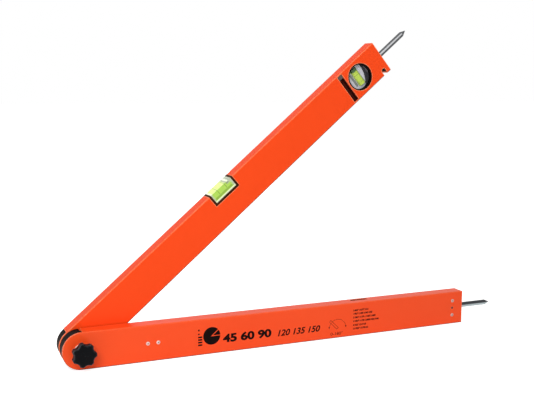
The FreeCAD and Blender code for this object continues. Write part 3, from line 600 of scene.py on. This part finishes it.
# see-through finishes: tint of one wall, the same wall at a slant, and how much of it is solid
clearFinishes = {
    "clear_acrylic": {"tone": (252, 254, 252), "second": (246, 250, 247), "rim": (176, 190, 182),
                      "rimStart": 0.93, "solid": 0.0, "glow": 0.0, "shine": 0.5, "rough": 0.06},
    "vial_liquid": {"tone": (176, 224, 58), "second": (158, 212, 44), "rim": (120, 170, 40),
                    "rimStart": 0.7, "solid": 0.62, "glow": 0.3, "shine": 0.3, "rough": 0.08},
    "plumb_green": {"tone": (188, 210, 84), "second": (180, 203, 76), "rim": (150, 176, 60),
                    "rimStart": 0.8, "solid": 0.94, "glow": 0.2, "shine": 0.3, "rough": 0.08},
    "vial_air": {"tone": (226, 236, 220), "second": (204, 218, 200), "rim": (52, 70, 36), "rimStart": 0.5,
                 "solid": 0.8, "glow": 0.1, "shine": 0.6, "rough": 0.08},
}
for name, zones in (("level_acrylic", levelZones), ("plumb_glass", plumbGlassZones)):
    clearFinishes[name] = dict(clearFinishes["clear_acrylic"], lean=tool["openAngle"], zones=zones)

# shared by all of them
clearWall = {
    "driftScale": 140.0, "driftAmount": 0.6, "grainScale": 900.0, "grainDepth": 0.000002,
    "smoothShare": 0.6, "dullShare": 1.4, "bend": 1.45,
}


def layOver(tree, color, other, share):
    # lays another colour over the first where share is 1
    mix = addNode(tree, "ShaderNodeMix", {7: paint(other)}, data_type="RGBA")
    tree.links.new(share, mix.inputs["Factor"])
    tree.links.new(color, mix.inputs[6])
    return mix.outputs[2]


def makeFinish(name, changes):
    look = dict(plainFinish, **changes)
    material = bpy.data.materials.new(name)
    material.use_nodes = True
    tree = material.node_tree
    link = tree.links.new
    shader = tree.nodes["Principled BSDF"]
    shader.inputs["Metallic"].default_value = look["metallic"]
    shader.inputs["Specular IOR Level"].default_value = look["specular"]
    shader.inputs["Coat Weight"].default_value = look["coat"]
    shader.inputs["Coat Roughness"].default_value = look["coatRough"]
    lean = math.radians(look["lean"])
    drift = useGroup(tree, toneDrift, {"Tone": paint(look["tone"]), "Second Tone": paint(look["second"]),
                                       "Scale": look["driftScale"], "Amount": look["driftAmount"]})
    color = drift.outputs["Color"]
    # edge tone: wear, and on the orange coats and the knob a painted highlight
    if look["edge"]:
        edgeTint = useGroup(tree, edgeWearAndHighlight, {"Radius": look["edgeRadius"], "Breakup": look["edgeBreakup"]})
        share = addNode(tree, "ShaderNodeMath", {1: look["edgeAmount"]}, operation="MULTIPLY")
        link(edgeTint.outputs["Mask"], share.inputs[0])
        color = layOver(tree, color, look["edge"], share.outputs[0])
    # painted shade: a darker tone along the arms' rounded lower edges and upper back edge
    if look["edgeShade"]:
        rounded = useGroup(tree, roundedEdges, {"Lean": lean})
        color = layOver(tree, color, look["edgeShade"], rounded.outputs["Mask"])
    if look["slant"]:
        # painted reflection: steel takes a dark tone where it turns away from the view
        slant = addNode(tree, "ShaderNodeLayerWeight", {"Blend": 0.5})
        dark = addRange(tree, look["slantStart"], look["slantStop"])
        link(slant.outputs["Facing"], dark.inputs["Value"])
        color = layOver(tree, color, look["slant"], dark.outputs["Result"])
    if look["lower"]:
        # painted reflection: a lighter tone on the underside, where the steel would mirror the white floor
        surface = addNode(tree, "ShaderNodeNewGeometry")
        facing = addNode(tree, "ShaderNodeSeparateXYZ")
        down = addRange(tree, look["lowerStart"], look["lowerStop"])
        link(surface.outputs["Normal"], facing.inputs["Vector"])
        link(facing.outputs["Z"], down.inputs["Value"])
        color = layOver(tree, color, look["lower"], down.outputs["Result"])
    link(color, shader.inputs["Base Color"])
    if look["lines"]:
        detail = useGroup(tree, toolLines, {"Angle": lean, "Across": look["lineAcross"],
                                            "Along": look["lineAlong"], "Depth": look["lineDepth"]})
    else:
        detail = useGroup(tree, surfaceGrain, {"Scale": look["grainScale"], "Depth": look["grainDepth"]})
    spread = look["roughSpread"] / 2
    uneven = addRange(tree, *maskSpans["grain"], look["rough"] - spread, look["rough"] + spread)
    link(detail.outputs["Mask"], uneven.inputs["Value"])
    link(uneven.outputs["Result"], shader.inputs["Roughness"])
    link(detail.outputs["Normal"], shader.inputs["Normal"])
    return addZones(material, look["lean"], look["zones"])


def makeClearFinish(name, look):
    material = bpy.data.materials.new(name)
    material.use_nodes = True
    tree = material.node_tree
    link = tree.links.new
    wall = clearWall
    solid = tree.nodes["Principled BSDF"]
    out = tree.nodes["Material Output"]
    drift = useGroup(tree, toneDrift, {"Tone": paint(look["tone"]), "Second Tone": paint(look["second"]),
                                       "Scale": wall["driftScale"], "Amount": wall["driftAmount"]})
    slant = addNode(tree, "ShaderNodeLayerWeight", {"Blend": 0.5})
    rim = addRange(tree, look["rimStart"], 1.0)
    clear = addNode(tree, "ShaderNodeBsdfTransparent")
    grain = useGroup(tree, surfaceGrain, {"Scale": wall["grainScale"], "Depth": wall["grainDepth"]})
    uneven = addRange(tree, 0.0, 1.0, look["rough"] * wall["smoothShare"], look["rough"] * wall["dullShare"])
    fresnel = addNode(tree, "ShaderNodeFresnel", {"IOR": wall["bend"]})
    shine = addNode(tree, "ShaderNodeMath", {1: look["shine"]}, operation="MULTIPLY")
    share = addNode(tree, "ShaderNodeMath", {1: look["solid"]}, operation="MAXIMUM")
    mix = addNode(tree, "ShaderNodeMixShader")
    solid.inputs["Emission Strength"].default_value = look["glow"]
    link(slant.outputs["Facing"], rim.inputs["Value"])
    tint = layOver(tree, drift.outputs["Color"], look["rim"], rim.outputs["Result"])
    for colored in (clear.inputs["Color"], solid.inputs["Base Color"], solid.inputs["Emission Color"]):
        link(tint, colored)
    link(grain.outputs["Mask"], uneven.inputs["Value"])
    link(uneven.outputs["Result"], solid.inputs["Roughness"])
    link(grain.outputs["Normal"], solid.inputs["Normal"])
    link(fresnel.outputs["Fac"], shine.inputs[0])
    link(shine.outputs[0], share.inputs[0])
    link(share.outputs[0], mix.inputs["Fac"])
    link(clear.outputs[0], mix.inputs[1])
    link(solid.outputs[0], mix.inputs[2])
    link(mix.outputs[0], out.inputs["Surface"])
    return addZones(material, look.get("lean", 0.0), look.get("zones", {}))


def armPlace(tree, lean):
    # object coordinates along, across and up the arm, turned back by lean degrees
    place = addNode(tree, "ShaderNodeTexCoord")
    hinge = (0, 0, tool["hingeHeight"] * milli)
    turn = addNode(tree, "ShaderNodeVectorRotate", {"Center": hinge, "Angle": math.radians(lean)},
                   rotation_type="Y_AXIS")
    parts = addNode(tree, "ShaderNodeSeparateXYZ")
    tree.links.new(place.outputs["Object"], turn.inputs["Vector"])
    tree.links.new(turn.outputs["Vector"], parts.inputs["Vector"])
    return dict(zip(("along", "across", "up"), parts.outputs))


def combine(tree, operation, first, second):
    if first is None:
        return second
    node = addNode(tree, "ShaderNodeMath", operation=operation)
    tree.links.new(first, node.inputs[0])
    tree.links.new(second, node.inputs[1])
    return node.outputs[0]


def boxMask(tree, place, box):
    # 1 inside a box; an end that is None stays open
    inside = None
    for way, (low, high, fade) in box.items():
        for edge, sign in ((low, 1), (high, -1)):
            if edge is not None:
                mask = useGroup(tree, zoneMask, {"Edge": edge * milli, "Fade": sign * fade * milli})
                tree.links.new(place[way], mask.inputs["Value"])
                inside = combine(tree, "MULTIPLY", inside, mask.outputs["Mask"])
    return inside


zoneRough = 0.25


def addZones(material, lean, zones):
    if not zones:
        return material
    tree = material.node_tree
    link = tree.links.new
    place = armPlace(tree, lean)
    surface = tree.nodes["Material Output"].inputs["Surface"]
    for zone in zones.values():
        mask = None
        for box in zone["boxes"]:
            mask = combine(tree, "MAXIMUM", mask, boxMask(tree, place, box))
        for box in zone.get("without", []):
            rest = addNode(tree, "ShaderNodeMath", {0: 1.0}, operation="SUBTRACT")
            link(boxMask(tree, place, box), rest.inputs[1])
            mask = combine(tree, "MULTIPLY", mask, rest.outputs[0])
        color = paint(zone["color"])
        patch = addNode(tree, "ShaderNodeBsdfPrincipled", {
            "Base Color": color, "Roughness": zoneRough,
            "Emission Color": color, "Emission Strength": zone["glow"]})
        part = addNode(tree, "ShaderNodeMath", {1: zone["share"]}, operation="MULTIPLY")
        over = addNode(tree, "ShaderNodeMixShader")
        link(mask, part.inputs[0])
        link(part.outputs[0], over.inputs["Fac"])
        link(surface.links[0].from_socket, over.inputs[1])
        link(patch.outputs[0], over.inputs[2])
        link(over.outputs[0], surface)
    return material


made = {name: makeFinish(name, changes) for name, changes in finishes.items()}
made.update({name: makeClearFinish(name, look) for name, look in clearFinishes.items()})

# pieces whose finish differs from the rest of their slot
ownFinishes = {
    "base_point": "base_point_steel",
    "base_set_screw": "dull_screw",
    "base_insert_rivets": "front_rivet",
    "base_end_rivets": "front_end_rivet",
    "window_frame": "window_nylon",
    "swing_tube": "swing_orange",
    "level_frame": "frame_nylon",
    "level_block": "level_acrylic",
    "plumb_tube": "plumb_glass",
    "plumb_grip": "grip_nylon",
    "plumb_liquid": "plumb_green",
    "vial_carrier": "slot_nylon",
    "knob_washer": "plated_washer_glint",
}


def dressNodes():
    for entry in frame["record"]["subparts"]:
        node = cad[entry["node"]]
        finish = made[ownFinishes.get(entry["node"], entry["material_slot"])]
        if not node.material_slots:
            node.data.materials.append(finish)
        for place in node.material_slots:
            place.material = finish


dressNodes()
print("finishes on", len(cad), "nodes")


# small printed and marked pieces

ink = {"proud": 0.02, "sunk": 0.004}


def addPlate(shape, outline, turn, low=-ink["sunk"], high=ink["proud"]):
    # closed flat plate between two heights; the outline runs in the plate's own x and y, in millimetres
    rings = []
    for height in (low, high):
        places = [turn @ Vector((x * milli, y * milli, height * milli)) for x, y in outline]
        rings.append([shape.verts.new(place) for place in places])
    bottom, top = rings
    shape.faces.new(list(reversed(bottom)))
    shape.faces.new(top)
    count = len(outline)
    for step in range(count):
        after = (step + 1) % count
        shape.faces.new((bottom[step], bottom[after], top[after], top[step]))


def arcPoints(x, y, radius, start, end, steps):
    points = []
    for step in range(steps + 1):
        angle = math.radians(start + (end - start) * step / steps)
        points.append((x + radius * math.cos(angle), y + radius * math.sin(angle)))
    return points


def ringPart(x, y, inner, outer, start, end, steps):
    outside = arcPoints(x, y, outer, start, end, steps)
    inside = arcPoints(x, y, inner, start, end, steps)
    return outside + list(reversed(inside))


def bar(x0, y0, x1, y1, wide):
    # straight stroke between two places
    lengthX, lengthY = x1 - x0, y1 - y0
    length = math.hypot(lengthX, lengthY)
    sideX, sideY = -lengthY / length * wide / 2, lengthX / length * wide / 2
    return [(x0 - sideX, y0 - sideY), (x1 - sideX, y1 - sideY),
            (x1 + sideX, y1 + sideY), (x0 + sideX, y0 + sideY)]


def addDigits(shape, digits, turn):
    # numbers from left over width, standing on foot, in millimetres; bold swells them, slant leans them
    curve = bpy.data.curves.new("digits", "FONT")
    curve.body = digits["words"]
    curve.size = 1.0
    curve.bevel_depth = digits.get("bold", 0.0)
    curve.bevel_resolution = 0
    curve.shear = digits.get("slant", 0.0)
    curve.extrude = 0.5
    holder = bpy.data.objects.new("digits", curve)
    bpy.context.scene.collection.objects.link(holder)
    bpy.context.view_layer.update()
    mesh = bpy.data.meshes.new_from_object(holder.evaluated_get(bpy.context.evaluated_depsgraph_get()))
    bpy.data.objects.remove(holder)
    bpy.data.curves.remove(curve)
    xs = [v.co.x for v in mesh.vertices]
    ys = [v.co.y for v in mesh.vertices]
    deep = max(v.co.z for v in mesh.vertices)
    tall = digits["height"] / (max(ys) - min(ys))
    wide = digits["width"] / (max(xs) - min(xs))
    low, high = -ink["sunk"], ink["proud"]
    for v in mesh.vertices:
        x = digits["left"] + (v.co.x - min(xs)) * wide
        y = digits["foot"] + (v.co.y - min(ys)) * tall
        z = low + (v.co.z / deep + 1) / 2 * (high - low)
        v.co = turn @ Vector((x * milli, y * milli, z * milli))
    shape.from_mesh(mesh)
    bpy.data.meshes.remove(mesh)


closeDistance = 1e-8    # metres


def addPiece(shape, name, finish, body):
    bmesh.ops.remove_doubles(shape, verts=shape.verts, dist=closeDistance)
    bmesh.ops.recalc_face_normals(shape, faces=shape.faces)
    mesh = bpy.data.meshes.new(name)
    shape.to_mesh(mesh)
    shape.free()
    piece = bpy.data.objects.new(name, mesh)
    bpy.context.scene.collection.objects.link(piece)
    mesh.materials.append(made[finish])
    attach(piece, body)


# the base arm's front: x along the arm, y up from the hinge axis
frontTurn = (
    Matrix.Translation((0, tool["baseFront"] * milli, tool["hingeHeight"] * milli))
    @ Matrix.Rotation(math.radians(90), 4, "X")
)

# plain angle marks
commonAngles = {
    "ticks": [(-10.9, 6.0), (-7.2, 6.0), (-3.5, 6.0), (0.1, 6.0), (4.5, 2.2), (10.0, 2.2)],  # height, length
    "tickLeft": 158.0,
    "tickWide": 2.2,
    "dialX": 177.8,
    "dialY": 0.4,
    "dialRadius": 12.4,
    "dialLine": 1.1,
    "dialSteps": 48,
    "digits": [
        {"words": "45 60 90", "left": 194.0, "foot": -11.6, "height": 12.6, "width": 73.0, "bold": 0.045},
        {"words": "120 135 150", "left": 277.0, "foot": -11.9, "height": 9.4, "width": 67.0,
         "bold": 0.026, "slant": 0.25},
    ],
}


def makeCommonAngles():
    shape = bmesh.new()
    marks = commonAngles
    left = marks["tickLeft"]
    for y, long in marks["ticks"]:
        addPlate(shape, bar(left, y, left + long, y, marks["tickWide"]), frontTurn)
    # a disc in two slices, parted by bare lines
    x, y, radius = marks["dialX"], marks["dialY"], marks["dialRadius"]
    edge = math.degrees(marks["dialLine"] / 2 / radius)
    for start, end in ((0.0, tool["openAngle"]), (tool["openAngle"], 360.0)):
        half = math.radians(end - start) / 2
        middle = math.radians(start + end) / 2
        apart = marks["dialLine"] / 2 / math.sin(half)
        apex = (x + apart * math.cos(middle), y + apart * math.sin(middle))
        rim = arcPoints(x, y, radius, start + edge, end - edge, marks["dialSteps"])
        addPlate(shape, [apex] + rim, frontTurn)
    for digits in marks["digits"]:
        addDigits(shape, digits, frontTurn)
    addPiece(shape, "commonAngles", "print_ink", "base_arm")


# plain sketch of the swinging arm with its range
rangeSign = {
    "x": 372.4,
    "y": -10.6,
    "radius": 13.8,
    "line": 0.42,
    "arcStart": 12,
    "arcStop": 168,
    "arcSteps": 40,
    "tipHigh": 3.2,
    "tipHalf": 1.2,
    "armLong": 17.0,
    "armWide": 3.2,
    "armAngle": 136.0,
    "digits": {"words": "0-180°", "left": 361.2, "foot": -20.4, "height": 4.5, "width": 19.8},
}


def makeRangeSign():
    shape = bmesh.new()
    sign = rangeSign
    x, y, radius, line = sign["x"], sign["y"], sign["radius"], sign["line"]
    arc = ringPart(x, y, radius - line, radius, sign["arcStart"], sign["arcStop"], sign["arcSteps"])
    addPlate(shape, arc, frontTurn)
    for side in (1, -1):
        tip, top = x + side * (radius - line / 2), y + sign["tipHigh"]
        addPlate(shape, [(tip, y), (tip + sign["tipHalf"], top), (tip - sign["tipHalf"], top)], frontTurn)
    angle = math.radians(sign["armAngle"])
    alongX, alongY = math.cos(angle), math.sin(angle)
    long, half = sign["armLong"], sign["armWide"] / 2
    for side in (1, -1):
        startX, startY = x - alongY * side * half, y + alongX * side * half
        addPlate(shape, bar(startX, startY, startX + alongX * long, startY + alongY * long, line), frontTurn)
    sideX, sideY = alongY * half, alongX * half
    for reach in (0, long):
        endX, endY = x + alongX * reach, y + alongY * reach
        addPlate(shape, bar(endX - sideX, endY + sideY, endX + sideX, endY - sideY, line), frontTurn)
    addDigits(shape, sign["digits"], frontTurn)
    addPiece(shape, "rangeSign", "print_ink", "base_arm")


# polygons: number of sides, corner angle and ratios
angleTable = {
    "left": 398.4,
    "height": 3.0,
    "bold": 0.06,
    "rows": [  # words, foot, width
        ("3 60.0° 1:0.577 2 0.5", 12.0, 25.0),
        ("4 90.0° 1:1.000 1.41421 0.707", 6.9, 32.0),
        ("5 108.0° 1:1.376 1.17557 2 0.809", 1.3, 37.5),
        ("6 120.0° 1:1.732 1.00000 0.866 3.464", -4.2, 43.0),
        ("8 135.0° 1:2.414 0.9", -10.1, 21.5),
        ("12 150.0° 1:3.732 0.5", -15.4, 25.0),
    ],
}


def makeAngleTable():
    shape = bmesh.new()
    table = angleTable
    for words, foot, width in table["rows"]:
        addDigits(shape, {"words": words, "left": table["left"], "foot": foot, "height": table["height"],
                          "width": width, "bold": table["bold"]}, frontTurn)
    addPiece(shape, "angleTable", "print_ink", "base_arm")


# the scale band's marks, one for each degree; x along the band, y across it
scaleMarks = {
    "indexX": 414.0,
    "perDegree": 0.35168,   # travel of the band
    "lastDegree": 180,
    "top": 45.3,
    "front": 1.5,
    "short": 0.7,
    "middle": 1.1,
    "long": 1.7,
    "line": 0.12,
    "digitFoot": 3.5,
    "digitHeight": 1.7,
    "digitShape": 0.62,     # width of one digit for its height
    "digitBold": 0.012,
}


def makeScaleMarks():
    shape = bmesh.new()
    marks = scaleMarks
    turn = Matrix.Translation((0, 0, marks["top"] * milli))
    for degree in range(marks["lastDegree"] + 1):
        x = marks["indexX"] + (degree - tool["openAngle"]) * marks["perDegree"]
        size = "long" if degree % 10 == 0 else "middle" if degree % 5 == 0 else "short"
        addPlate(shape, bar(x, marks["front"], x, marks["front"] + marks[size], marks["line"]), turn)
        if size == "long":
            width = marks["digitHeight"] * marks["digitShape"] * len(str(degree))
            digits = {"words": str(degree), "left": x - width / 2, "foot": marks["digitFoot"],
                      "height": marks["digitHeight"], "width": width, "bold": marks["digitBold"]}
            addDigits(shape, digits, turn)
    addPiece(shape, "scaleMarks", "print_ink", "scale_band")


# the red line under the window's lens
indexLine = {
    "front": 1.4,
    "back": 5.6,
    "wide": 0.22,
    "thick": 0.03,
}


def makeIndexLine():
    shape = bmesh.new()
    line, x = indexLine, scaleMarks["indexX"]
    turn = Matrix.Translation((0, 0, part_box("window_lens")[0].z))
    addPlate(shape, bar(x, line["front"], x, line["back"], line["wide"]), turn, -line["thick"], 0.0)
    addPiece(shape, "indexLine", "index_red", "base_arm")


def addRing(shape, centre, axis, side, radius):
    rings = vialRings
    other = axis.cross(side)
    outer = radius + rings["thick"]
    loops = []
    for reach, along in ((radius, -1), (radius, 1), (outer, 1), (outer, -1)):
        loop = []
        for step in range(rings["steps"]):
            angle = 2 * math.pi * step / rings["steps"]
            away = (side * math.cos(angle) + other * math.sin(angle)) * reach
            place = centre + axis * along * rings["wide"] / 2 + away
            loop.append(shape.verts.new(swingTurn @ (place * milli)))
        loops.append(loop)
    for here, there in zip(loops, loops[1:] + loops[:1]):
        for step in range(rings["steps"]):
            after = (step + 1) % rings["steps"]
            shape.faces.new((here[step], here[after], there[after], there[step]))


def makeVialRings():
    rings = vialRings
    middle = tool["swingMiddle"]
    alongX, up = Vector((1, 0, 0)), Vector((0, 0, 1))
    shape = bmesh.new()
    for along in rings["levelPlaces"]:
        centre = Vector((along, middle, rings["levelAxisHeight"]))
        addRing(shape, centre, alongX, up, rings["levelRadius"])
    addPiece(shape, "levelRings", "print_ink", "swing_arm")
    shape = bmesh.new()
    for along in rings["plumbPlaces"]:
        addRing(shape, Vector((rings["plumbAxis"], middle, along)), up, alongX, rings["plumbRadius"])
    addPiece(shape, "plumbRings", "print_ink", "swing_arm")


makeCommonAngles()
makeRangeSign()
makeAngleTable()
makeScaleMarks()
makeIndexLine()
makeVialRings()
print("marks and numbers made")
